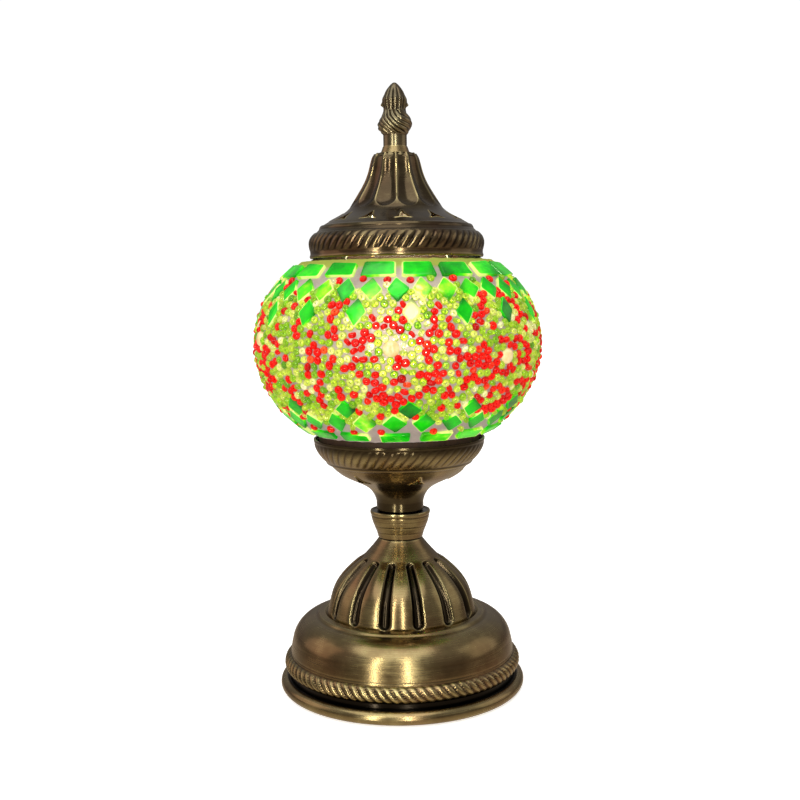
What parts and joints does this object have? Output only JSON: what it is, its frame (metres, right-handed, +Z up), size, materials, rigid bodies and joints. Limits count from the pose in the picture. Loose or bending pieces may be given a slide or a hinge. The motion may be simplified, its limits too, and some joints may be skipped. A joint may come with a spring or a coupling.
{
  "type": "mosaic glass table lamp",
  "caption": "Small table lamp: a round glass globe set with green cut-glass tiles and seed beads, held between an antique bronze foot and a pierced, fluted cap with a screw-on bud finial.",
  "frame": {"origin": "middle of the felt pad's underside, on the lamp's axis", "axes": "+Z up along the lamp's axis, -Y is the front, +Y the back, where the cord inlet is, +X to the right seen from the front"},
  "size_m": [0.1194, 0.1194, 0.2524],
  "materials": {
    "felt": "short green-black felt",
    "antique_brass": "brushed antique bronze plating with dark hollows",
    "bright_brass": "polished",
    "black_rubber": "matt",
    "zinc_steel": "zinc plated",
    "black_phenolic": "moulded",
    "socket_brass": "plain",
    "solder": "dull solder",
    "bulb_metal": "nickel plated",
    "bulb_glass": "frosted, lit",
    "bulb_stem_glass": "clear",
    "filament": "lit",
    "clear_glass": "clear, blown",
    "grout": "pale plaster, slightly translucent",
    "lime_beads": "clear yellow-green seed beads",
    "red_beads": "red seed beads",
    "cream_beads": "glazed",
    "green_tiles": "cut stained glass with darker edges"
  },
  "bodies": {
    "stand": {"felt_pad": "felt", "foot_ring": "antique_brass", "base_bell": "antique_brass", "cord_grommet": "black_rubber", "base_dome": "antique_brass", "neck_collar": "antique_brass", "lamp_pipe": "zinc_steel", "base_washer": "zinc_steel", "pipe_nuts": "zinc_steel", "lower_cup": "antique_brass", "seat_ring": "black_rubber", "harp": "zinc_steel", "finial_stud": "zinc_steel", "stud_nuts": "zinc_steel", "socket_body": "black_phenolic", "screw_shell": "socket_brass", "socket_contact": "socket_brass", "terminal_screws": "zinc_steel"},
    "bulb_carrier": {"bulb_contact": "solder"},
    "bulb": {"bulb_insulator": "black_phenolic", "bulb_base": "bulb_metal", "bulb_glass": "bulb_glass", "bulb_stem": "bulb_stem_glass", "bulb_filaments": "filament"},
    "globe": {"glass_globe": "clear_glass", "grout_layer": "grout", "bead_layer": "lime_beads", "centre_beads": "cream_beads", "top_rim_tiles": "green_tiles", "upper_diamonds": "green_tiles", "upper_points": "green_tiles", "lower_points": "green_tiles", "lower_diamonds": "green_tiles", "bottom_rim_tiles": "green_tiles"},
    "cap": {"top_cap": "antique_brass", "cap_seal": "black_rubber"},
    "finial_carrier": {"finial_washer": "bright_brass"},
    "finial": {"finial": "antique_brass"}
  },
  "joints": [
    {"name": "bulb_rise", "type": "slide", "parent": "stand", "child": "bulb_carrier", "axis": [0, 0, 1], "range_m": [0, 0.017]},
    {"name": "bulb_turn", "type": "hinge", "parent": "bulb_carrier", "child": "bulb", "pos_m": [0, 0, 0.116], "axis": [0, 0, 1], "range_deg": [0, 2160]},
    {"name": "globe_lift", "type": "slide", "parent": "stand", "child": "globe", "axis": [0, 0, 1], "range_m": [0, 0.13]},
    {"name": "cap_lift", "type": "slide", "parent": "globe", "child": "cap", "axis": [0, 0, 1], "range_m": [0, 0.06]},
    {"name": "finial_rise", "type": "slide", "parent": "cap", "child": "finial_carrier", "axis": [0, 0, 1], "range_m": [0, 0.008]},
    {"name": "finial_turn", "type": "hinge", "parent": "finial_carrier", "child": "finial", "pos_m": [0, 0, 0.23], "axis": [0, 0, 1], "range_deg": [0, 2880]}
  ],
  "couplings": [
    {"joint": "bulb_rise", "follows": "bulb_turn", "m_per_rad": 0.00045041},
    {"joint": "finial_rise", "follows": "finial_turn", "m_per_rad": 0.00015915}
  ]
}
